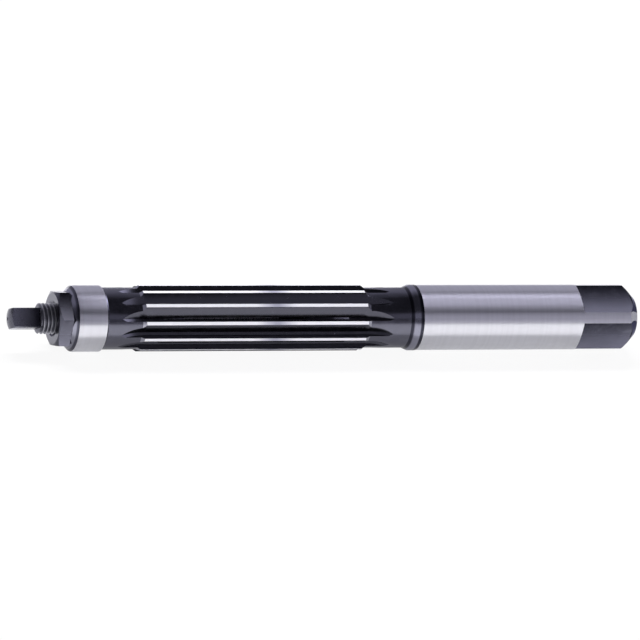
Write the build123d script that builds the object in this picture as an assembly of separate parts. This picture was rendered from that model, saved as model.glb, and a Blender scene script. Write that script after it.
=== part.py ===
from build123d import *

import math
import os

# Hand expansion reamer, straight flutes, about 30 mm.
# X runs along the tool, from the adjusting screw at -X to the driving square at +X.
# Z is up. The tool lies on its side, on its pilot and on the collar before its shank.
# All lengths are in millimetres and all angles in degrees.
# Angles round the tool are counted from the horizontal on the -Y side, up towards +Z.

# Cutting part, with its teeth spaced unevenly in each half turn, so that they don't chatter
reamer_diameter = 30.0
first_tooth_angle = 13.9
tooth_spacings = (31.3, 29.8, 28.3, 27.7, 31.4, 31.5)
land_width = 1.5
cutting_length = 105.8
lead_bevel_length = 1.5
tail_bevel_length = 1.9

# Flutes, milled with one form cutter
relief_width = 0.75
relief_angle = 28.0
flute_corner_depth = 3.8
flute_root_bevel = 1.2
flute_cutter_radius = 32.0
flute_cutter_sweep = 40.0
front_cutter_stop = 2.3
rear_cutter_stop = 0.2

# Saw slots that let the cutting part swell
slotted_flute_step = 2
slot_width = 0.8
slot_offset = 1.0
slot_straight_length = 50.0
slot_saw_radius = 31.5
slot_depth_into_bore = 1.0

# Pilot and necks
pilot_diameter = 29.9
pilot_length = 15.5
pilot_front_chamfer = 2.4
pilot_edge_length = 0.9
pilot_edge_drop = 0.2
pilot_rear_chamfer = 0.95
front_neck_length = 16.0
rear_neck_diameter = 27.5
rear_neck_length = 19.2
flare_length = 3.0

# Shank and driving square
blank_diameter = 30.0
collar_length = 2.9
shank_diameter = 29.68
shank_length = 78.3
square_length = 28.0
square_across_flats = 24.0
square_corner_diameter = 29.36
square_corner_angle = 21.3
square_cutter_radius = 50.0
square_end_chamfer = 5.0
centre_drill_diameter = 3.15
centre_mouth_diameter = 6.7
centre_cone_angle = 60.0
centre_drill_depth = 7.0

# Bore of the body, with the taper that the expander wedges into
thread_diameter = 14.0
thread_clearance = 0.06
thread_mouth_chamfer = 1.1
tapped_length = 26.0
bore_diameter = 12.2
taper_start = 70.0
taper_length = 36.0
taper_ratio = 20.0
relief_bore_length = 26.0
drill_point_angle = 118.0

# Adjusting screw
screw_square_length = 13.9
screw_square_across_flats = 9.0
screw_square_flat_angle = 29.3
screw_stem_diameter = 12.0
screw_dome_height = 1.8
screw_centre_diameter = 1.6
screw_thread_outside = 13.0
screw_thread_inside = 20.0
screw_thread_chamfer = 0.4
screw_rod_diameter = 9.0
screw_rod_length = 24.0
link_neck_diameter = 5.0
link_neck_length = 5.0
button_diameter = 8.0
button_length = 4.0

# Expander plug
plug_side_clearance = 0.10
plug_end_clearance = 0.15
plug_tapered_length = 30.0
plug_nose_chamfer = 0.5

# Lock nut
nut_across_flats = 24.0
nut_thickness = 6.0
nut_corner_angle = 19.7
nut_face_diameter = 23.0
nut_chamfer_angle = 28.0

# Amounts by which a cutting shape runs past the face that it cuts
overcut = 2.0

# Radii
reamer_radius = reamer_diameter / 2
pilot_radius = pilot_diameter / 2
front_neck_radius = pilot_radius - pilot_rear_chamfer
rear_neck_radius = rear_neck_diameter / 2
blank_radius = blank_diameter / 2
shank_radius = shank_diameter / 2
square_corner_radius = square_corner_diameter / 2
thread_radius = thread_diameter / 2
tapped_radius = thread_radius + thread_clearance
bore_radius = bore_diameter / 2
plug_radius = bore_radius - plug_side_clearance

# Stations along the body, counted from its front face, where the lock nut bears
pilot_end = pilot_length
front_neck_start = pilot_end + pilot_rear_chamfer
teeth_start = front_neck_start + front_neck_length
full_teeth_start = teeth_start + lead_bevel_length
full_teeth_end = full_teeth_start + cutting_length
teeth_end = full_teeth_end + tail_bevel_length
flare_start = teeth_end + rear_neck_length
collar_start = flare_start + flare_length
shank_start = collar_start + collar_length
square_start = shank_start + shank_length
body_end = square_start + square_length

# Stations inside the body
taper_end = taper_start + taper_length
relief_bore_end = taper_end + relief_bore_length
relief_bore_radius = bore_radius - taper_length / taper_ratio / 2
drill_point_end = relief_bore_end + relief_bore_radius / math.tan(math.radians(drill_point_angle / 2))

# Stations along the adjusting screw
screw_tip = -screw_thread_outside - screw_square_length
screw_rod_end = screw_thread_inside + screw_rod_length
button_start = screw_rod_end + link_neck_length
button_end = button_start + button_length

# The tool lies on the unground collar, which is its widest round part
axis_height = max(blank_radius, pilot_radius)
front_face = -(screw_tip + body_end) / 2


def turned(*outline):
    """A solid of revolution about X, from its outline as (x, radius) points."""
    return revolve(make_face(Polyline(*outline, close=True)), Axis.X)


def at_angle(shape, angle):
    """Turn a shape that points up (+Z) to an angle round the tool."""
    return Rot(90 - angle, 0, 0) * shape


def placed(shape):
    """Move a piece from the body's front face and axis to its place on the floor."""
    return Pos(front_face, 0, axis_height) * shape


def flute_form(spacing):
    """Section of one flute, seen along X: the cutting face stands on the Z axis."""
    land_angle = 2 * math.degrees(math.asin(land_width / reamer_diameter))
    opening = math.radians(spacing - land_angle)
    heel = Vector(reamer_radius * math.sin(opening), reamer_radius * math.cos(opening))
    facet_slope = math.radians(relief_angle) - opening
    facet = Vector(math.cos(facet_slope), math.sin(facet_slope))
    relief_foot = heel - facet * relief_width
    relief_end = heel + facet * overcut
    corner = Vector(0, reamer_radius - flute_corner_depth)
    top = reamer_radius + overcut
    back_angle = math.atan2(relief_foot.Y - corner.Y, relief_foot.X)
    face_foot = corner + Vector(0, flute_root_bevel)
    back_foot = corner + Vector(math.cos(back_angle), math.sin(back_angle)) * flute_root_bevel
    outline = Polyline((0, top), (face_foot.X, face_foot.Y), (back_foot.X, back_foot.Y),
                       (relief_foot.X, relief_foot.Y), (relief_end.X, relief_end.Y),
                       (relief_end.X, top), close=True)
    return make_face(outline), back_foot.Y


def flute_cutter(spacing):
    """What one flute takes away: a straight run and the cutter's own curve at each end."""
    form, floor_radius = flute_form(spacing)
    first_centre = teeth_start + front_cutter_stop
    last_centre = teeth_end - rear_cutter_stop
    section = Plane.YZ.offset(first_centre) * form
    straight = extrude(section, last_centre - first_centre)
    spindle_height = floor_radius + flute_cutter_radius
    front_spindle = Axis((first_centre, 0, spindle_height), (0, 1, 0))
    rear_spindle = Axis((last_centre, 0, spindle_height), (0, -1, 0))
    front_run_out = revolve(section, front_spindle, flute_cutter_sweep)
    rear_run_out = revolve(Plane.YZ.offset(last_centre) * form, rear_spindle, flute_cutter_sweep)
    return straight + front_run_out + rear_run_out


def slot_cutter():
    """What the slitting saw takes away: a slot through the wall, along a flute's root."""
    middle = (full_teeth_start + full_teeth_end) / 2
    saw_centre_height = bore_radius - slot_depth_into_bore + slot_saw_radius
    path = SlotCenterToCenter(slot_straight_length, 2 * slot_saw_radius)
    blade = extrude(Plane.XZ * path, slot_width / 2, both=True)
    return Pos(middle, slot_offset, saw_centre_height) * blade


def square_flat_cutter():
    """What one flat of the driving square takes away, with the milling cutter's curve."""
    length = square_length + square_cutter_radius + overcut
    outline = SlotCenterToCenter(length, 2 * square_cutter_radius)
    slab = extrude(outline, blank_radius)
    centre = square_start - square_flat_sagitta() + square_cutter_radius + length / 2
    return Pos(centre, 0, square_across_flats / 2) * slab


def square_flat_sagitta():
    """How far the cutter's curve reaches past the ends of the shoulder at the flat's edges."""
    half_flat = math.sqrt(shank_radius ** 2 - (square_across_flats / 2) ** 2)
    return square_cutter_radius - math.sqrt(square_cutter_radius ** 2 - half_flat ** 2)


def body_bore():
    """The inside of the body: tapped mouth, plain bore, wedge taper, relief and drill point."""
    return turned(
        (-overcut, 0),
        (-overcut, tapped_radius + thread_mouth_chamfer),
        (0, tapped_radius + thread_mouth_chamfer),
        (thread_mouth_chamfer, tapped_radius),
        (tapped_length, tapped_radius),
        (tapped_length + tapped_radius - bore_radius, bore_radius),
        (taper_start, bore_radius),
        (taper_end, relief_bore_radius),
        (relief_bore_end, relief_bore_radius),
        (drill_point_end, 0),
    )


def centre_hole():
    """Centre in the driving end, for turning and grinding between centres."""
    drill_radius = centre_drill_diameter / 2
    mouth_radius = centre_mouth_diameter / 2
    cone_depth = (mouth_radius - drill_radius) / math.tan(math.radians(centre_cone_angle / 2))
    drill_end = body_end - centre_drill_depth
    return turned(
        (body_end + overcut, 0),
        (body_end + overcut, mouth_radius),
        (body_end, mouth_radius),
        (body_end - cone_depth, drill_radius),
        (drill_end, drill_radius),
        (drill_end - drill_radius / math.tan(math.radians(drill_point_angle / 2)), 0),
    )


def reamer_body():
    """The body, turned, milled, bored and slotted in one piece of steel."""
    body = turned(
        (0, 0),
        (0, pilot_radius - pilot_edge_drop - pilot_front_chamfer),
        (pilot_front_chamfer, pilot_radius - pilot_edge_drop),
        (pilot_front_chamfer + pilot_edge_length, pilot_radius),
        (pilot_end, pilot_radius),
        (front_neck_start, front_neck_radius),
        (teeth_start, front_neck_radius),
        (full_teeth_start, reamer_radius),
        (full_teeth_end, reamer_radius),
        (teeth_end, rear_neck_radius),
        (flare_start, rear_neck_radius),
        (collar_start, blank_radius),
        (shank_start, blank_radius),
        (shank_start, shank_radius),
        (square_start, shank_radius),
        (square_start, square_corner_radius),
        (body_end - square_end_chamfer, square_corner_radius),
        (body_end, square_corner_radius - square_end_chamfer),
        (body_end, 0),
    )
    half_land = math.degrees(math.asin(land_width / reamer_diameter))
    slot = slot_cutter()
    cuts = [body_bore(), centre_hole()]
    cutting_edge = first_tooth_angle + half_land
    for tooth, spacing in enumerate(tooth_spacings):
        for half_turn in (0, 180):
            cuts.append(at_angle(flute_cutter(spacing), cutting_edge + half_turn))
            if tooth % slotted_flute_step == 0:
                cuts.append(at_angle(slot, cutting_edge + half_turn))
        cutting_edge += spacing
    for side in range(4):
        cuts.append(at_angle(square_flat_cutter(), square_corner_angle + 45 + 90 * side))
    return body - cuts


def adjusting_screw():
    """The screw: driving square, thread, rod, and the button that holds the expander."""
    stem_radius = screw_stem_diameter / 2
    rod_radius = screw_rod_diameter / 2
    dome_radius = (stem_radius ** 2 + screw_dome_height ** 2) / (2 * screw_dome_height)
    dome_side = screw_tip + screw_dome_height
    half_side = stem_radius / 2
    half_side_x = screw_tip + dome_radius - math.sqrt(dome_radius ** 2 - half_side ** 2)
    dome = ThreePointArc((screw_tip, 0), (half_side_x, half_side), (dome_side, stem_radius))
    sides = Polyline(
        (dome_side, stem_radius),
        (-screw_thread_outside, stem_radius),
        (-screw_thread_outside + screw_thread_chamfer, thread_radius),
        (screw_thread_inside - screw_thread_chamfer, thread_radius),
        (screw_thread_inside, thread_radius - screw_thread_chamfer),
        (screw_thread_inside, rod_radius),
        (screw_rod_end, rod_radius),
        (screw_rod_end, link_neck_diameter / 2),
        (button_start, link_neck_diameter / 2),
        (button_start, button_diameter / 2),
        (button_end, button_diameter / 2),
        (button_end, 0),
        (screw_tip, 0),
    )
    screw = revolve(make_face([dome, *sides.edges()]), Axis.X)
    centre_depth = screw_centre_diameter / 2 / math.tan(math.radians(centre_cone_angle / 2))
    centre = turned(
        (screw_tip - overcut, 0),
        (screw_tip - overcut, screw_centre_diameter / 2),
        (screw_tip, screw_centre_diameter / 2),
        (screw_tip + centre_depth, 0),
    )
    flat_length = screw_square_length + overcut
    flat = Box(flat_length, screw_stem_diameter, stem_radius,
               align=(Align.MAX, Align.CENTER, Align.MIN))
    flat = Pos(-screw_thread_outside, 0, screw_square_across_flats / 2) * flat
    cuts = [at_angle(flat, screw_square_flat_angle + 90 * side) for side in range(4)]
    return screw - [centre, *cuts]


def expander_plug():
    """The wedge: a round head with a T-slot for the screw's button, and a long taper."""
    plug_start = screw_rod_end + plug_end_clearance
    plug_end = taper_start + plug_tapered_length
    tip_radius = plug_radius - plug_tapered_length / taper_ratio / 2
    plug = turned(
        (plug_start, 0),
        (plug_start, plug_radius),
        (taper_start, plug_radius),
        (plug_end - plug_nose_chamfer, tip_radius),
        (plug_end, tip_radius - plug_nose_chamfer),
        (plug_end, 0),
    )
    slot_height = plug_radius + overcut
    neck_width = link_neck_diameter + 2 * plug_end_clearance
    button_width = button_diameter + 2 * plug_end_clearance
    pocket_length = button_length + 2 * plug_end_clearance
    upwards = (Align.MIN, Align.CENTER, Align.MIN)
    neck_slot = Box(link_neck_length + overcut, neck_width, slot_height, align=upwards)
    neck_slot = Pos(button_start - link_neck_length - overcut, 0, 0) * neck_slot
    neck_seat = Pos(plug_start, 0, 0) * Cylinder(neck_width / 2, link_neck_length, rotation=(0, 90, 0),
                                                 align=(Align.CENTER, Align.CENTER, Align.MIN))
    pocket = Box(pocket_length, button_width, slot_height, align=upwards)
    pocket = Pos(button_start - plug_end_clearance, 0, 0) * pocket
    pocket_seat = Cylinder(button_width / 2, pocket_length, rotation=(0, 90, 0),
                           align=(Align.CENTER, Align.CENTER, Align.MIN))
    pocket_seat = Pos(button_start - plug_end_clearance, 0, 0) * pocket_seat
    return plug - [neck_slot, neck_seat, pocket, pocket_seat]


def lock_nut():
    """Thin hexagon nut, chamfered at its front corners and flat where it bears on the body."""
    hexagon = Plane.YZ * RegularPolygon(nut_across_flats / 2, 6, major_radius=False, rotation=30)
    prism = Pos(-nut_thickness, 0, 0) * extrude(hexagon, nut_thickness)
    face_radius = nut_face_diameter / 2
    outside = nut_across_flats / math.sqrt(3) + overcut
    slope = (outside - face_radius) * math.tan(math.radians(nut_chamfer_angle))
    envelope = turned(
        (-nut_thickness, 0),
        (-nut_thickness, face_radius),
        (-nut_thickness + slope, outside),
        (0, outside),
        (0, 0),
    )
    mouth_radius = tapped_radius + thread_mouth_chamfer
    hole = turned(
        (-nut_thickness - overcut, 0),
        (-nut_thickness - overcut, mouth_radius),
        (-nut_thickness, mouth_radius),
        (-nut_thickness + thread_mouth_chamfer, tapped_radius),
        (overcut, tapped_radius),
        (overcut, 0),
    )
    return at_angle(prism & envelope, nut_corner_angle) - hole


pieces = {
    "reamer_body": reamer_body(),
    "adjusting_screw": adjusting_screw(),
    "expander_plug": expander_plug(),
    "lock_nut": lock_nut(),
}

os.makedirs("parts", exist_ok=True)
for node, shape in pieces.items():
    export_step(placed(shape), "parts/" + node + ".step")
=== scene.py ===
import math

import bmesh
import bpy
from mathutils import Matrix, Vector


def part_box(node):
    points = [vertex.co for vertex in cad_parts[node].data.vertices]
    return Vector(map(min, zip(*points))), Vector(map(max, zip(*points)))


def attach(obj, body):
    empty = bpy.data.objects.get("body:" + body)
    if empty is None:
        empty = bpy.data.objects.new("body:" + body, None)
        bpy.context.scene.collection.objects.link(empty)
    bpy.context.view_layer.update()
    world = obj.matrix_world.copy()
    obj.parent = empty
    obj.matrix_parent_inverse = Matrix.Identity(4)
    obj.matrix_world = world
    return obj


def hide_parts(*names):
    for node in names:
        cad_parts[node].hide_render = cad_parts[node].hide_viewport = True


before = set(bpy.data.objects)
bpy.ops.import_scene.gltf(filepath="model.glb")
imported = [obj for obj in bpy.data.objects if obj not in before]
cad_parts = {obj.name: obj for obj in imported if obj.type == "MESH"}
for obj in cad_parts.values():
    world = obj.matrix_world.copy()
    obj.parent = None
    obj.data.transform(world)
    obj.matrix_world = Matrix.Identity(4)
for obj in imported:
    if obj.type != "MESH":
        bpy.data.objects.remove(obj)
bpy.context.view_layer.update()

# The reamer body
# One hardened steel bar: pilot, twelve milled teeth, necks, shank and driving square. It was
# blacked all over first, then the pilot, the lands, the shank and the square's corners were ground.

body_low, body_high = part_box("reamer_body")
axis_height = (body_low.z + body_high.z) / 2
front_face = body_low.x
tooth_radius = (body_high.z - body_low.z) / 2

# Radii of the body, and the stations where its finishes change, counted from its front face
pilot_inner_radius = 0.0120
pilot_chamfer_end = 0.0024
pilot_back_chamfer = 0.0151
pilot_end = 0.0165
flute_front = 0.0170
teeth_start = 0.03245
full_teeth_start = 0.03395
full_teeth_end = 0.13975
teeth_end = 0.14165
flute_back = 0.1580
flare_start = 0.1607
collar_inner_radius = 0.0135
shank_start = 0.16675
shank_radius = 0.01484
shoulder_start = 0.2440
square_start = 0.24505
square_corner_radius = 0.01468
square_end = 0.26805
centre_hole_reach = 0.0060
axis_reach = 0.001
facet_tolerance = 0.00009

# Angles round the tool, in degrees
half_turn = 180.0
quarter_turn = 90.0
square_corner_angle = 23.3
strip_half_angle = 9.8

# How far a face's normal leans along the tool, and how squarely a cylinder's faces look outwards
bevel_slope = 0.4
end_slope = 0.95
cylinder_fit = 0.9985

# How the frame's shapes are joined and shaded
copy_merge_distance = 0.000002
shortest_edge = 0.0000005
sharp_edge_angle = math.radians(24)

# The oxide's skin, which is paler in rubbed patches, and its fine grain
oxide_colour = (0.155, 0.155, 0.188, 1.0)
oxide_rubbed_colour = (0.20, 0.20, 0.24, 1.0)
oxide_roughness = 0.20
rubbed_gain = 1.3
rubbed_patch_edge = 0.48
rubbed_patch_heart = 0.72
most_rubbed = 0.35
noise_low = 0.3
noise_high = 0.7
smoothest_share = 0.85
roughest_share = 1.2
grain_strength = 0.10
grain_depth = 0.00002

# Blacked flutes, bevels, flats and corners
# The flutes' oxide is darker than the rest of the body: painted shade in the flutes
flute_painted_shade_colour = (0.090, 0.090, 0.108, 1.0)
flute_roughness = 0.23
bevel_colour = (0.40, 0.40, 0.45, 1.0)
# The driving square's flats run from painted shade to a painted sheen across each flat
flat_painted_shade_colour = (0.035, 0.035, 0.048, 1.0)
flat_painted_sheen_colour = (0.21, 0.21, 0.275, 1.0)
flat_sheen_metal = 0.4
# The driving end's cone is painted shade: a very dark colour and a tint that dims its reflection
driving_end_shade_colour = (0.035, 0.035, 0.045, 1.0)
driving_end_shade_tint = (0.50, 0.50, 0.60, 1.0)
end_corner_colour = (0.19, 0.19, 0.22, 1.0)
# The pilot's back chamfer is paler than the oxide all round: a painted reflection
back_chamfer_reflection_colour = (0.28, 0.28, 0.33, 1.0)

# The pilot's front chamfer and the collar before the shank, each dark with one paler ring: painted shade
# with a painted reflection ring
chamfer_painted_shade_colour = (0.09, 0.09, 0.115, 1.0)
chamfer_painted_reflection_colour = (0.31, 0.31, 0.37, 1.0)
chamfer_ring_start = -0.0010
chamfer_ring_end = 0.0014
# The collar is painted shade with one painted reflection ring
collar_painted_shade_colour = (0.045, 0.045, 0.06, 1.0)
collar_painted_reflection_colour = (0.29, 0.29, 0.35, 1.0)
collar_ring_start = 0.1623
collar_ring_end = 0.1652
ring_start_fade = 0.0003
ring_end_fade = 0.0002

# Steel off the grinding wheel
ground_colour = (0.80, 0.80, 0.835, 1.0)
ground_fineness = 4000.0
ground_roughness = 0.38
ground_roughness_change = 0.03
ground_band_shade = 0.96
bands_low = 0.35
bands_high = 0.65
broad_band_share = 0.12
streak_rotation = 0.25

# The honed lands, and the stretch where they are duller
land_colour = (0.97, 0.97, 0.98, 1.0)
land_band_colour = (0.93, 0.93, 0.96, 1.0)
land_dull_colour = (0.42, 0.42, 0.50, 1.0)
land_dull_start = 0.086
land_dull_end = 0.106
land_dull_fade = 0.009
land_fineness = 3000.0
land_roughness = 0.40
land_roughness_change = 0.05
land_metal_share = 0.03


def shade_smooth(form, edge_angle):
    """Smooth shading over a bmesh, broken at its sharp edges."""
    for face in form.faces:
        face.smooth = True
    for edge in form.edges:
        edge.smooth = edge.calc_face_angle(math.pi) < edge_angle


def placed(mesh, name):
    """A mesh as an object of the scene, at the origin."""
    piece = bpy.data.objects.new(name, mesh)
    bpy.context.scene.collection.objects.link(piece)
    return piece


def smoothed_copy(node, name, edge_angle):
    """The frame's own shape as one joined mesh, shaded smooth between its sharp edges."""
    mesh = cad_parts[node].data.copy()
    mesh.name = name
    mesh.materials.clear()
    form = bmesh.new()
    form.from_mesh(mesh)
    bmesh.ops.remove_doubles(form, verts=form.verts, dist=copy_merge_distance)
    bmesh.ops.dissolve_degenerate(form, edges=form.edges, dist=shortest_edge)
    shade_smooth(form, edge_angle)
    form.to_mesh(mesh)
    form.free()
    return placed(mesh, name)


def set_sockets(tree, node, sockets):
    """Each named socket of a node given a value or joined to another node's output."""
    for socket, value in sockets.items():
        if isinstance(value, bpy.types.NodeSocket):
            tree.links.new(value, node.inputs[socket])
        else:
            node.inputs[socket].default_value = value


def add(tree, kind, sockets=None, **settings):
    """A new node in a tree, with its settings and its sockets."""
    made = tree.nodes.new(kind)
    for setting, value in settings.items():
        setattr(made, setting, value)
    set_sockets(tree, made, sockets or {})
    return made


def calculate(tree, operation, first, second=0.0):
    """One step of arithmetic on two values or sockets."""
    return add(tree, "ShaderNodeMath", {0: first, 1: second}, operation=operation).outputs[0]


def ramp_between(tree, value, low, high, at_low=0.0, at_high=1.0):
    """A value carried from one range to another and kept inside it."""
    sockets = {"Value": value, "From Min": low, "From Max": high, "To Min": at_low, "To Max": at_high}
    return add(tree, "ShaderNodeMapRange", sockets, clamp=True).outputs[0]


def blend_colour(tree, share, first, second):
    """Two colours mixed by a share."""
    return add(tree, "ShaderNodeMix", {0: share, 6: first, 7: second}, data_type="RGBA").outputs[2]


def bumped(tree, height, strength=grain_strength, depth=grain_depth):
    """The surface's normal with a fine height worked into it."""
    sockets = {"Strength": strength, "Distance": depth, "Height": height}
    return add(tree, "ShaderNodeBump", sockets).outputs["Normal"]


def degrees_round(tree, height, across):
    """The angle round the tool in degrees, from the front horizon over to the back."""
    forwards = calculate(tree, "MULTIPLY", across, -1.0)
    roll = calculate(tree, "ARCTAN2", height, forwards)
    return calculate(tree, "MULTIPLY", roll, half_turn / math.pi)


def new_group(name, inputs, outputs):
    """An empty shader group with its named sockets, and its two end nodes."""
    group = bpy.data.node_groups.new(name, "ShaderNodeTree")
    for socket, kind in inputs:
        group.interface.new_socket(socket, in_out="INPUT", socket_type=kind)
    for socket, kind in outputs:
        group.interface.new_socket(socket, in_out="OUTPUT", socket_type=kind)
    return group, group.nodes.new("NodeGroupInput"), group.nodes.new("NodeGroupOutput")


def place_on_tool_group():
    """Where a point lies on the tool: its station behind the body's front face and its radius."""
    group, start, end = new_group("place_on_tool", [("Place", "NodeSocketVector")],
                                  [("Station", "NodeSocketFloat"), ("Radius", "NodeSocketFloat")])
    axes = add(group, "ShaderNodeSeparateXYZ", {0: start.outputs["Place"]})
    height = calculate(group, "SUBTRACT", axes.outputs["Z"], axis_height)
    across_squared = calculate(group, "MULTIPLY", axes.outputs["Y"], axes.outputs["Y"])
    height_squared = calculate(group, "MULTIPLY", height, height)
    radius = calculate(group, "SQRT", calculate(group, "ADD", across_squared, height_squared))
    station = calculate(group, "SUBTRACT", axes.outputs["X"], front_face)
    set_sockets(group, end, {"Station": station, "Radius": radius})
    return group


def across_flats_group():
    """How far a point lies across its flat of a square or hexagon, back from its farther corner.

    The farther corner is the one with the greater angle from the front horizon over to the back.
    """
    group, start, end = new_group("across_flats",
                                  [("Place", "NodeSocketVector"), ("Corner", "NodeSocketFloat"),
                                   ("Step", "NodeSocketFloat")],
                                  [("Share", "NodeSocketFloat")])
    axes = add(group, "ShaderNodeSeparateXYZ", {0: start.outputs["Place"]})
    height = calculate(group, "SUBTRACT", axes.outputs["Z"], axis_height)
    angle = degrees_round(group, height, axes.outputs["Y"])
    past_corner = calculate(group, "SUBTRACT", angle, start.outputs["Corner"])
    flats = calculate(group, "DIVIDE", past_corner, start.outputs["Step"])
    share = calculate(group, "SUBTRACT", 1.0, calculate(group, "FRACT", flats))
    set_sockets(group, end, {"Share": share})
    return group


def grinding_group():
    """Fine marks that a grinding wheel leaves round a turning workpiece, and broader bands of them."""
    group, start, end = new_group("grinding_marks",
                                  [("Place", "NodeSocketVector"), ("Fineness", "NodeSocketFloat")],
                                  [("Marks", "NodeSocketFloat"), ("Bands", "NodeSocketFloat")])
    along = add(group, "ShaderNodeSeparateXYZ", {0: start.outputs["Place"]}).outputs["X"]
    fine = add(group, "ShaderNodeTexNoise",
               {"W": along, "Scale": start.outputs["Fineness"], "Detail": 2.0, "Roughness": 0.6},
               noise_dimensions="1D")
    broad_scale = calculate(group, "MULTIPLY", start.outputs["Fineness"], broad_band_share)
    broad = add(group, "ShaderNodeTexNoise", {"W": along, "Scale": broad_scale, "Detail": 3.0},
                noise_dimensions="1D")
    set_sockets(group, end, {"Marks": fine.outputs["Fac"], "Bands": broad.outputs["Fac"]})
    return group


def oxide_group():
    """The uneven black of an oxide bath, with fine grain and paler rubbed patches."""
    group, start, end = new_group("oxide_skin",
                                  [("Place", "NodeSocketVector"), ("Colour", "NodeSocketColor"),
                                   ("Rubbed", "NodeSocketColor"), ("Roughness", "NodeSocketFloat")],
                                  [("Colour", "NodeSocketColor"), ("Roughness", "NodeSocketFloat"),
                                   ("Grain", "NodeSocketFloat")])
    cloud = add(group, "ShaderNodeTexNoise",
                {"Vector": start.outputs["Place"], "Scale": 260.0, "Detail": 4.0, "Roughness": 0.6})
    grain = add(group, "ShaderNodeTexNoise",
                {"Vector": start.outputs["Place"], "Scale": 3200.0, "Detail": 3.0, "Roughness": 0.7})
    rubbed = ramp_between(group, cloud.outputs["Fac"], rubbed_patch_edge, rubbed_patch_heart,
                          0.0, most_rubbed)
    colour = blend_colour(group, rubbed, start.outputs["Colour"], start.outputs["Rubbed"])
    uneven = ramp_between(group, cloud.outputs["Fac"], noise_low, noise_high,
                          smoothest_share, roughest_share)
    roughness = calculate(group, "MULTIPLY", start.outputs["Roughness"], uneven)
    set_sockets(group, end, {"Colour": colour, "Roughness": roughness, "Grain": grain.outputs["Fac"]})
    return group


place_on_tool = place_on_tool_group()
across_flats = across_flats_group()
grinding_marks = grinding_group()
oxide_skin = oxide_group()


def use_group(tree, group, sockets):
    """One use of a shader group in a material."""
    return add(tree, "ShaderNodeGroup", sockets, node_tree=group)


def use_oxide(tree, place, colour, rubbed, roughness):
    """One use of the oxide's skin in a material."""
    sockets = {"Place": place, "Colour": colour, "Rubbed": rubbed, "Roughness": roughness}
    return use_group(tree, oxide_skin, sockets)


def worked_roughness(tree, marks, smoothest, roughest):
    """A roughness that goes up and down with the fine grinding marks."""
    return ramp_between(tree, marks.outputs["Marks"], noise_low, noise_high, smoothest, roughest)


def banded_colour(tree, marks, darker, paler):
    """A colour that changes a little from one broad band of grinding marks to the next."""
    shade = ramp_between(tree, marks.outputs["Bands"], bands_low, bands_high)
    return blend_colour(tree, shade, darker, paler)


def steel_material(name):
    """A new material with only its steel shader, and the place that its patterns read."""
    material = bpy.data.materials.new(name)
    material.use_nodes = True
    tree = material.node_tree
    shader = tree.nodes["Principled BSDF"]
    place = add(tree, "ShaderNodeTexCoord").outputs["Object"]
    return material, tree, shader, place


def blacked_steel(name, colour, roughness):
    """Steel from the oxide bath, almost black, with a fine grain and paler rubbed patches."""
    material, tree, shader, place = steel_material(name)
    rubbed = tuple(rubbed_gain * part for part in colour[:3]) + (1.0,)
    skin = use_oxide(tree, place, colour, rubbed, roughness)
    set_sockets(tree, shader, {
        "Base Color": skin.outputs["Colour"],
        "Metallic": 1.0,
        "Roughness": skin.outputs["Roughness"],
        "Normal": bumped(tree, skin.outputs["Grain"]),
    })
    return material


def flats_with_painted_sheen(name, shaded_colour, sheen_colour, corner_angle, step_angle, corner_share, metal_in_sheen):
    """Blacked flats lightened across each flat towards one of its corners: painted shade that turns into a
    painted sheen.
    """
    material, tree, shader, place = steel_material(name)
    flat_position = use_group(tree, across_flats, {"Place": place, "Corner": corner_angle, "Step": step_angle})
    skin = use_oxide(tree, place, shaded_colour, oxide_rubbed_colour, oxide_roughness)
    sheen_share = ramp_between(tree, flat_position.outputs["Share"], corner_share, 1.0 - corner_share)
    set_sockets(tree, shader, {
        "Base Color": blend_colour(tree, sheen_share, skin.outputs["Colour"], sheen_colour),
        "Metallic": ramp_between(tree, sheen_share, 0.0, 1.0, 1.0, metal_in_sheen),
        "Roughness": skin.outputs["Roughness"],
        "Normal": bumped(tree, skin.outputs["Grain"]),
    })
    return material


def steel_with_painted_ring(name, dark, pale, ring_start, ring_end):
    """Dark steel with one paler ring between two stations: painted shade with a painted reflection ring."""
    material, tree, shader, place = steel_material(name)
    station = use_group(tree, place_on_tool, {"Place": place}).outputs["Station"]
    skin = use_oxide(tree, place, dark, dark, oxide_roughness)
    begins = ramp_between(tree, station, ring_start - ring_start_fade, ring_start + ring_start_fade)
    ends = ramp_between(tree, station, ring_end + ring_end_fade, ring_end - ring_end_fade)
    ring = calculate(tree, "MULTIPLY", begins, ends)
    set_sockets(tree, shader, {
        "Base Color": blend_colour(tree, ring, skin.outputs["Colour"], pale),
        "Metallic": 1.0,
        "Roughness": skin.outputs["Roughness"],
    })
    return material


def ground_steel(name, colour):
    """Bright steel off the grinding wheel, whose marks draw each reflection out along the tool."""
    material, tree, shader, place = steel_material(name)
    marks = use_group(tree, grinding_marks, {"Place": place, "Fineness": ground_fineness})
    darker = tuple(ground_band_shade * part for part in colour[:3]) + (1.0,)
    round_the_tool = add(tree, "ShaderNodeTangent", direction_type="RADIAL", axis="X")
    set_sockets(tree, shader, {
        "Base Color": banded_colour(tree, marks, darker, colour),
        "Metallic": 1.0,
        "Roughness": worked_roughness(tree, marks, ground_roughness - ground_roughness_change,
                                      ground_roughness + ground_roughness_change),
        "Anisotropic": 1.0,
        "Anisotropic Rotation": streak_rotation,
        "Tangent": round_the_tool.outputs[0],
    })
    return material


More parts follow.
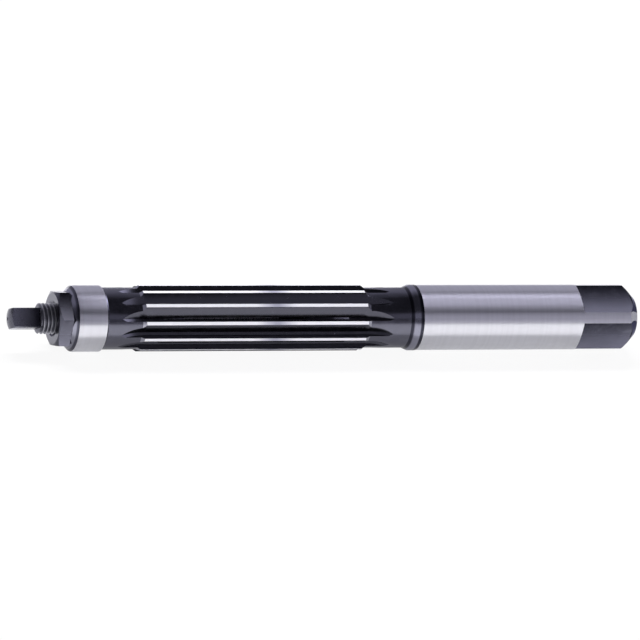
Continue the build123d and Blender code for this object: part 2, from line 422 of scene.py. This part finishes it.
def honed_land_steel():
    """The narrow lands behind the cutting edges, honed pale, with one duller length."""
    material, tree, shader, place = steel_material("honed_land_steel")
    station = use_group(tree, place_on_tool, {"Place": place}).outputs["Station"]
    marks = use_group(tree, grinding_marks, {"Place": place, "Fineness": land_fineness})
    dulling = ramp_between(tree, station, land_dull_start, land_dull_start + land_dull_fade)
    clearing = ramp_between(tree, station, land_dull_end, land_dull_end - land_dull_fade)
    dull = calculate(tree, "MULTIPLY", dulling, clearing)
    pale = banded_colour(tree, marks, land_band_colour, land_colour)
    set_sockets(tree, shader, {
        "Base Color": blend_colour(tree, dull, pale, land_dull_colour),
        "Metallic": land_metal_share,
        "Roughness": worked_roughness(tree, marks, land_roughness - land_roughness_change,
                                      land_roughness + land_roughness_change),
    })
    return material


def driving_end_steel():
    """The blacked cone at the driving end, with painted shade: a very dark colour and a tint that dims its
    reflection, so that it stays dark where it is seen at a grazing angle.
    """
    material = blacked_steel("driving_end_steel", driving_end_shade_colour, oxide_roughness)
    shader = material.node_tree.nodes["Principled BSDF"]
    shader.inputs["Specular Tint"].default_value = driving_end_shade_tint
    return material


reamer_finishes = {
    "blacked": blacked_steel("blacked_reamer_steel", oxide_colour, oxide_roughness),
    "ground": ground_steel("ground_reamer_steel", ground_colour),
    "tooth bevel": blacked_steel("tooth_bevel_steel", bevel_colour, oxide_roughness),
    "land": honed_land_steel(),
    "flute": blacked_steel("milled_flute_steel", flute_painted_shade_colour, flute_roughness),
    "square": flats_with_painted_sheen("driving_square_steel", flat_painted_shade_colour, flat_painted_sheen_colour,
                            square_corner_angle, quarter_turn, strip_half_angle / quarter_turn,
                            flat_sheen_metal),
    "square end": driving_end_steel(),
    "chamfer": steel_with_painted_ring("pilot_chamfer_steel", chamfer_painted_shade_colour, chamfer_painted_reflection_colour,
                            chamfer_ring_start, chamfer_ring_end),
    "end corner": blacked_steel("end_corner_steel", end_corner_colour, oxide_roughness),
    "pilot back chamfer reflection": blacked_steel("back_chamfer_reflection_steel", back_chamfer_reflection_colour, oxide_roughness),
    "collar": steel_with_painted_ring("collar_steel", collar_painted_shade_colour, collar_painted_reflection_colour,
                           collar_ring_start, collar_ring_end),
}


def finish_of_driving_end(station, outwards, slope):
    """Which finish a face has on the driving square, its shoulder or its end."""
    angle = math.degrees(math.atan2(outwards.z, -outwards.y)) - square_corner_angle
    from_corner = abs((angle + quarter_turn / 2) % quarter_turn - quarter_turn / 2)
    if slope > end_slope:
        return "blacked"
    if station < square_end:
        return "square"
    return "end corner" if from_corner < strip_half_angle else "square end"


def finish_of(face):
    """Which of the reamer's finishes a face has, by its station, its radius and its slope."""
    middle = face.calc_center_median()
    station = middle.x - front_face
    radius = math.hypot(middle.y, middle.z - axis_height)
    if radius < axis_reach:
        return "blacked"
    outwards = Vector((0, middle.y, middle.z - axis_height)) / radius
    slope = abs(face.normal.x)
    if station < pilot_end and radius > pilot_inner_radius:
        if station > pilot_back_chamfer:
            return "pilot back chamfer reflection"
        if station < pilot_chamfer_end and slope > bevel_slope:
            return "chamfer"
        return "ground"
    if shank_start < station < square_start and radius > shank_radius - facet_tolerance:
        return "ground"
    if square_start < station < square_end and radius > square_corner_radius - facet_tolerance:
        return "ground"
    if station > shoulder_start and radius > centre_hole_reach:
        return finish_of_driving_end(station, outwards, slope)
    if full_teeth_start < station < full_teeth_end and radius > tooth_radius - facet_tolerance:
        return "land"
    if teeth_start < station < teeth_end and slope > bevel_slope:
        return "tooth bevel"
    if flare_start < station < shank_start and radius > collar_inner_radius:
        return "collar"
    if flute_front < station < flute_back and face.normal.dot(outwards) < cylinder_fit:
        return "flute"
    return "blacked"


reamer = smoothed_copy("reamer_body", "reamer_body_finished", sharp_edge_angle)
finish_order = list(reamer_finishes)
for finish in finish_order:
    reamer.data.materials.append(reamer_finishes[finish])
reamer_form = bmesh.new()
reamer_form.from_mesh(reamer.data)
for face in reamer_form.faces:
    face.material_index = finish_order.index(finish_of(face))
reamer_form.to_mesh(reamer.data)
reamer_form.free()
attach(reamer, "body")
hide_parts("reamer_body")

# The expander plug
# A turned and ground wedge on the screw's button, out of sight in the bore, which it swells as
# the screw drives it along. It keeps the frame's own shape.

plug_colour = (0.55, 0.55, 0.57, 1.0)
plug_fineness = 6000.0
plug_smoothest = 0.20
plug_roughest = 0.32
plug_marks_strength = 0.2
plug_marks_depth = 0.00002


def plug_steel():
    """Plain ground steel, with marks round the taper."""
    material, tree, shader, place = steel_material("plug_steel")
    marks = use_group(tree, grinding_marks, {"Place": place, "Fineness": plug_fineness})
    set_sockets(tree, shader, {
        "Base Color": plug_colour,
        "Metallic": 1.0,
        "Roughness": worked_roughness(tree, marks, plug_smoothest, plug_roughest),
        "Normal": bumped(tree, marks.outputs["Marks"], plug_marks_strength, plug_marks_depth),
    })
    return material


plug = smoothed_copy("expander_plug", "expander_plug_finished", sharp_edge_angle)
plug.data.materials.append(plug_steel())
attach(plug, "expander")
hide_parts("expander_plug")

# The adjusting screw
# Turned from bar: a domed square for a key, a fine thread cut with a die, and a rod that ends in
# the button that carries the plug. Blacked, with the thread's crests rubbed bright.

screw_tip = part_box("adjusting_screw")[0].x
turn = 2 * math.pi
turning_segments = 96
spun_merge_distance = 0.0000005

# The square, from its domed tip to where the thread begins
stem_radius = 0.0060
square_flats = 4
square_half_flats = 0.0045
square_flat_angle = math.radians(29.3)
square_cut_tolerance = 0.0000001
square_overlap = 0.002
dome_height = 0.0018
dome_steps = 8
dome_slope = 0.5
centre_radius = 0.0008
centre_depth_by_radius = 1.7

# The thread, whose end cuts take off the spare turns and miss the corners of its outline
thread_start = front_face - 0.0130
thread_end = front_face + 0.0200
thread_crest_radius = 0.0070
thread_pitch = 0.00175
thread_depth = 0.00107
thread_crest_flat = 0.00022
thread_root_flat = 0.00042
thread_end_chamfer = 0.0004
thread_steps = 64
thread_spare_turns = 2
thread_off_corners = 0.00004
thread_merge_distance = 0.000001

# The rod and its button: radii, and stations behind the body's front face
rod_radius = 0.0045
rod_overlap = 0.001
rod_end = 0.0440
link_neck_radius = 0.0025
button_start = 0.0490
button_end = 0.0530
button_radius = 0.0040

# The finishes, with depths under the thread's crest, and stations that are negative before the body
thread_colour = (0.17, 0.17, 0.20, 1.0)
thread_roughness = 0.42
thread_metal_share = 0.9
crest_colour = (0.50, 0.50, 0.54, 1.0)
crest_wear_depth = 0.00026
crest_bright_depth = 0.00006
# The small square runs from painted shade by the thread to a painted sheen towards its domed tip
key_square_painted_shade_colour = (0.03, 0.03, 0.04, 1.0)
key_square_colour = (0.25, 0.25, 0.30, 1.0)
key_square_rubbed_colour = (0.36, 0.36, 0.42, 1.0)
key_square_roughness = 0.28
key_square_grain_strength = 0.30
key_square_grain_depth = 0.00004
key_sheen_start = -0.0145
key_sheen_full = -0.0245
dome_colour = (0.09, 0.09, 0.11, 1.0)


def spun(outline):
    """A closed bmesh turned about the X axis from an outline of (x, radius) points."""
    form = bmesh.new()
    points = [form.verts.new((x, 0, radius)) for x, radius in outline]
    edges = [form.edges.new(pair) for pair in zip(points, points[1:])]
    bmesh.ops.spin(form, geom=points + edges, cent=(0, 0, 0), axis=(1, 0, 0), dvec=(0, 0, 0),
                   angle=turn, steps=turning_segments, use_merge=True)
    bmesh.ops.remove_doubles(form, verts=form.verts, dist=spun_merge_distance)
    bmesh.ops.recalc_face_normals(form, faces=form.faces)
    return form


def cut_off(form, place, outwards, tolerance=0.0):
    """What lies past a plane taken off a bmesh."""
    bmesh.ops.bisect_plane(form, geom=form.verts[:] + form.edges[:] + form.faces[:], dist=tolerance,
                           plane_co=place, plane_no=outwards, clear_outer=True)


def close_cuts(form):
    """The rims that cuts have left in a bmesh, each closed with a face."""
    rims = [edge for edge in form.edges if edge.is_boundary]
    bmesh.ops.holes_fill(form, edges=rims)


def finished_object(form, name, edge_angle):
    """A bmesh about the X axis, lifted to the tool's axis and made an object."""
    bmesh.ops.translate(form, verts=form.verts, vec=(0, 0, axis_height))
    bmesh.ops.recalc_face_normals(form, faces=form.faces)
    shade_smooth(form, edge_angle)
    mesh = bpy.data.meshes.new(name)
    form.to_mesh(mesh)
    form.free()
    return placed(mesh, name)


def screw_square():
    """The domed end and its four flats, down to where the thread begins."""
    dome_radius = (stem_radius ** 2 + dome_height ** 2) / (2 * dome_height)
    outline = [(screw_tip + centre_radius * centre_depth_by_radius, 0.0)]
    for step in range(dome_steps + 1):
        radius = centre_radius + (stem_radius - centre_radius) * step / dome_steps
        outline.append((screw_tip + dome_radius - math.sqrt(dome_radius ** 2 - radius ** 2), radius))
    outline.append((thread_start, stem_radius))
    outline.append((thread_start + square_overlap, stem_radius))
    outline.append((thread_start + square_overlap, 0.0))
    form = spun(outline)
    for side in range(square_flats):
        angle = square_flat_angle + side * turn / square_flats
        outwards = Vector((0, -math.cos(angle), math.sin(angle)))
        cut_off(form, outwards * square_half_flats, outwards, square_cut_tolerance)
        close_cuts(form)
    return form


def screw_thread():
    """The thread, one tooth outline carried round and along, with both ends cut and chamfered."""
    flank = (thread_pitch - thread_crest_flat - thread_root_flat) / 2
    root = thread_crest_radius - thread_depth
    outline = [(0.0, root), (thread_root_flat, root), (thread_root_flat + flank, thread_crest_radius),
               (thread_root_flat + flank + thread_crest_flat, thread_crest_radius), (thread_pitch, root)]
    turns = math.ceil((thread_end - thread_start) / thread_pitch) + thread_spare_turns
    first_turn = thread_start - thread_pitch - thread_off_corners
    form = bmesh.new()
    points = [form.verts.new((first_turn + x, 0, radius)) for x, radius in outline]
    edges = [form.edges.new(pair) for pair in zip(points, points[1:])]
    bmesh.ops.spin(form, geom=points + edges, cent=(0, 0, 0), axis=(1, 0, 0),
                   dvec=(thread_pitch / thread_steps, 0, 0), angle=turn * turns, steps=thread_steps * turns)
    bmesh.ops.remove_doubles(form, verts=form.verts, dist=thread_merge_distance)
    for end, side in ((thread_start, -1), (thread_end, 1)):
        cut_off(form, (end, 0, 0), (side, 0, 0))
    close_cuts(form)
    for vertex in form.verts:
        radius = math.hypot(vertex.co.y, vertex.co.z)
        to_end = min(vertex.co.x - thread_start, thread_end - vertex.co.x)
        allowed = thread_crest_radius - thread_end_chamfer + max(to_end, 0.0)
        if radius > allowed:
            vertex.co.yz = vertex.co.yz * (allowed / radius)
    return form


def screw_rod():
    """The plain rod, the neck behind it and the button that holds the plug."""
    rod_start = thread_end - rod_overlap
    rod_shoulder = front_face + rod_end
    button_front = front_face + button_start
    button_back = front_face + button_end
    return spun([
        (rod_start, 0.0), (rod_start, rod_radius), (rod_shoulder, rod_radius),
        (rod_shoulder, link_neck_radius), (button_front, link_neck_radius),
        (button_front, button_radius), (button_back, button_radius), (button_back, 0.0),
    ])


def screw_square_steel():
    """Black oxide on the small square, lighter towards its domed tip: painted shade by the thread that
    turns into a painted sheen.
    """
    material, tree, shader, place = steel_material("screw_square_steel")
    station = use_group(tree, place_on_tool, {"Place": place}).outputs["Station"]
    key_sheen = ramp_between(tree, station, key_sheen_start, key_sheen_full)
    skin = use_oxide(tree, place, key_square_colour, key_square_rubbed_colour, key_square_roughness)
    set_sockets(tree, shader, {
        "Base Color": blend_colour(tree, key_sheen, key_square_painted_shade_colour, skin.outputs["Colour"]),
        "Metallic": 1.0,
        "Roughness": skin.outputs["Roughness"],
        "Normal": bumped(tree, skin.outputs["Grain"], key_square_grain_strength, key_square_grain_depth),
    })
    return material


def thread_steel():
    """Black oxide, worn off the thread's crests."""
    material, tree, shader, place = steel_material("thread_steel")
    radius = use_group(tree, place_on_tool, {"Place": place}).outputs["Radius"]
    crest = ramp_between(tree, radius, thread_crest_radius - crest_wear_depth,
                         thread_crest_radius - crest_bright_depth)
    skin = use_oxide(tree, place, thread_colour, oxide_rubbed_colour, thread_roughness)
    set_sockets(tree, shader, {
        "Base Color": blend_colour(tree, crest, skin.outputs["Colour"], crest_colour),
        "Metallic": thread_metal_share,
        "Roughness": skin.outputs["Roughness"],
        "Normal": bumped(tree, skin.outputs["Grain"]),
    })
    return material


key_square = finished_object(screw_square(), "screw_square", sharp_edge_angle)
thread = finished_object(screw_thread(), "screw_thread", sharp_edge_angle)
rod = finished_object(screw_rod(), "screw_rod", sharp_edge_angle)
key_square.data.materials.append(screw_square_steel())
thread.data.materials.append(thread_steel())
rod.data.materials.append(blacked_steel("blacked_rod_steel", oxide_colour, oxide_roughness))
for part in (key_square, thread, rod):
    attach(part, "screw")
key_square.data.materials.append(blacked_steel("screw_dome_steel", dome_colour, key_square_roughness))
for face in key_square.data.polygons:
    face.material_index = 1 if abs(face.normal.x) > dome_slope else 0
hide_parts("adjusting_screw")

# The lock nut
# A thin blacked hexagon, chamfered on its outer side, which jams the screw against the body's
# front face once the size is set.

nut_corner_angle = 19.7
nut_flat_angle = 60.0
nut_edge_angle = math.radians(20)
# The nut's flats run from painted shade to a painted sheen across each flat
nut_flat_painted_shade_colour = (0.07, 0.07, 0.09, 1.0)
nut_flat_painted_sheen_colour = (0.32, 0.32, 0.39, 1.0)
nut_sheen_metal = 0.5
nut_corner_share = 0.0
nut_face_colour = (0.095, 0.095, 0.12, 1.0)

nut = smoothed_copy("lock_nut", "lock_nut_finished", nut_edge_angle)
nut.data.materials.append(flats_with_painted_sheen("lock_nut_flats_steel", nut_flat_painted_shade_colour, nut_flat_painted_sheen_colour,
                                        nut_corner_angle, nut_flat_angle, nut_corner_share,
                                        nut_sheen_metal))
nut.data.materials.append(blacked_steel("lock_nut_face_steel", nut_face_colour, oxide_roughness))
for face in nut.data.polygons:
    face.material_index = 1 if abs(face.normal.x) > bevel_slope else 0
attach(nut, "nut")
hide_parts("lock_nut")

# The floor
# A plain white sheet that the tool lies on. The camera sees it almost pure white, with a faint
# trace of the tool's soft shadow.

floor_size = 8.0
paper_colour = (0.95, 0.95, 0.95, 1.0)
white = (1.0, 1.0, 1.0, 1.0)
glow_for_camera = 0.92
glow_in_reflections = 0.32

floor_form = bmesh.new()
bmesh.ops.create_grid(floor_form, x_segments=1, y_segments=1, size=floor_size / 2)
floor_mesh = bpy.data.meshes.new("floor")
floor_form.to_mesh(floor_mesh)
floor_form.free()
floor = placed(floor_mesh, "floor")


def floor_paper():
    """White paper, which adds its own light for the camera and, less, in the metal's reflections."""
    material = bpy.data.materials.new("floor_paper")
    material.use_nodes = True
    tree = material.node_tree
    tree.nodes.clear()
    sheet = add(tree, "ShaderNodeBsdfDiffuse", {"Color": paper_colour})
    glow = add(tree, "ShaderNodeEmission", {"Color": white, "Strength": 1.0})
    path = add(tree, "ShaderNodeLightPath")
    seen = calculate(tree, "MULTIPLY", path.outputs["Is Camera Ray"], glow_for_camera)
    mirrored = calculate(tree, "MULTIPLY", path.outputs["Is Glossy Ray"], glow_in_reflections)
    share = calculate(tree, "ADD", seen, mirrored)
    both = add(tree, "ShaderNodeMixShader", {0: share, 1: sheet.outputs[0], 2: glow.outputs[0]})
    add(tree, "ShaderNodeOutputMaterial", {"Surface": both.outputs[0]})
    return material


floor.data.materials.append(floor_paper())

# The light
# A key lamp behind the tool and a soft fill lamp in front light the floor and the pale lands. The
# world gives the metal what it mirrors: a grey back wall, a dark gap overhead, a dim front, and a
# panel of bright and dark strips to the right, which mainly the ground surfaces gather.

lamp_distance = 1.6
key_elevation = math.radians(57)
key_width = 0.22
key_length = 1.2
key_energy = 29.0
fill_elevation = math.radians(25)
fill_width = 0.6
fill_length = 1.2
fill_energy = 8.5


def studio_lamp(name, direction, width, length, energy):
    """A soft lamp that faces the tool and shows in no reflection."""
    data = bpy.data.lights.new(name, "AREA")
    data.shape = "RECTANGLE"
    data.size = width
    data.size_y = length
    data.energy = energy
    lamp = bpy.data.objects.new(name, data)
    place = Vector(direction).normalized() * lamp_distance
    lamp.matrix_world = Matrix.Translation(place) @ place.to_track_quat("Z", "X").to_matrix().to_4x4()
    lamp.visible_glossy = False
    bpy.context.scene.collection.objects.link(lamp)


studio_lamp("key_lamp", (0, math.cos(key_elevation), math.sin(key_elevation)),
            key_width, key_length, key_energy)
studio_lamp("fill_lamp", (0, -math.cos(fill_elevation), math.sin(fill_elevation)),
            fill_width, fill_length, fill_energy)

# Tones by the angle round the tool in degrees, from the front horizon over to the back
wall_tones = [(0, 0.30), (7, 0.14), (17, 0.14), (22, 0.30), (36, 0.28), (41, 0.04), (102, 0.04),
              (113, 0.15), (123, 0.28), (132, 0.42), (180, 0.42)]
panel_tones = [(0, 2.2), (40, 0.2), (65, 1.3), (85, 3.3), (103, 1.6), (120, 7.8), (142, 0.1), (180, 0.0)]
tone_tint = (0.97, 0.95, 1.16)
left_tone = (0.29, 0.285, 0.35, 1.0)
end_tone = (0.04, 0.04, 0.05, 1.0)

# Where each part of the surroundings begins, by how far a ray leans along the tool
right_panel_lean = (0.58, 0.66)
right_end_lean = (0.87, 0.91)
left_wall_lean = (-0.58, -0.66)
left_end_lean = (-0.84, -0.90)

world = bpy.data.worlds.new("studio")
bpy.context.scene.world = world
world.use_nodes = True
sky = world.node_tree
sky.nodes.clear()
towards = add(sky, "ShaderNodeSeparateXYZ", {0: add(sky, "ShaderNodeTexCoord").outputs["Generated"]})
degrees = degrees_round(sky, towards.outputs["Z"], towards.outputs["Y"])
share_of_turn = ramp_between(sky, degrees, 0.0, half_turn)


def tones_round(tones, name):
    """A ramp of tones by the angle round the tool, from the front horizon over to the back."""
    ramp = add(sky, "ShaderNodeValToRGB", {"Fac": share_of_turn}, name=name)
    while len(ramp.color_ramp.elements) < len(tones):
        ramp.color_ramp.elements.new(0.5)
    for mark, (angle, tone) in zip(ramp.color_ramp.elements, tones):
        mark.position = angle / half_turn
        mark.color = tuple(tone * part for part in tone_tint) + (1.0,)
    return ramp.outputs["Color"]


on_the_right = ramp_between(sky, towards.outputs["X"], *right_panel_lean)
at_right_end = ramp_between(sky, towards.outputs["X"], *right_end_lean)
on_the_left = ramp_between(sky, towards.outputs["X"], *left_wall_lean)
at_left_end = ramp_between(sky, towards.outputs["X"], *left_end_lean)
at_either_end = calculate(sky, "ADD", at_left_end, at_right_end)
reflected = blend_colour(sky, on_the_right, tones_round(wall_tones, "walls"),
                         tones_round(panel_tones, "panel"))
reflected = blend_colour(sky, on_the_left, reflected, left_tone)
reflected = blend_colour(sky, at_either_end, reflected, end_tone)
seen_by_camera = add(sky, "ShaderNodeLightPath").outputs["Is Camera Ray"]
shown = blend_colour(sky, seen_by_camera, reflected, white)
background = add(sky, "ShaderNodeBackground", {"Color": shown, "Strength": 1.0})
add(sky, "ShaderNodeOutputWorld", {"Surface": background.outputs[0]})

# The camera
# A long lens to the left of the tool and above it, turned by a fraction of a degree so that the
# tool's axis rises slightly to the right, as it does in the photograph.

photo_width = 640
focal_pixels = 7500.0
sensor_width = 36.0
side_angle = math.radians(20.0)
height_angle = math.radians(23.3)
roll_angle = math.radians(0.186)
metres_per_pixel = 0.0004532
station_seen = 0.121575
axis_point_seen = Vector((front_face + station_seen, 0.0, axis_height))
pixels_above_middle = 2.3
farthest_seen = 30.0

backwards = Vector((-math.sin(side_angle), -math.cos(side_angle) * math.cos(height_angle),
                    math.cos(side_angle) * math.sin(height_angle)))
rightwards = Vector((math.cos(side_angle), -math.sin(side_angle) * math.cos(height_angle),
                     math.sin(side_angle) * math.sin(height_angle)))
upwards = backwards.cross(rightwards)
target = axis_point_seen - upwards * pixels_above_middle * metres_per_pixel
camera_data = bpy.data.cameras.new("camera")
camera_data.sensor_width = sensor_width
camera_data.lens = focal_pixels / photo_width * sensor_width
camera_data.clip_end = farthest_seen
camera = bpy.data.objects.new("camera", camera_data)
facing = Matrix((rightwards, upwards, backwards)).transposed()
facing = Matrix.Rotation(-roll_angle, 3, backwards) @ facing
place = target + backwards * focal_pixels * metres_per_pixel
camera.matrix_world = Matrix.Translation(place) @ facing.to_4x4()
bpy.context.scene.collection.objects.link(camera)
bpy.context.scene.camera = camera
bpy.context.scene.view_settings.view_transform = "Standard"
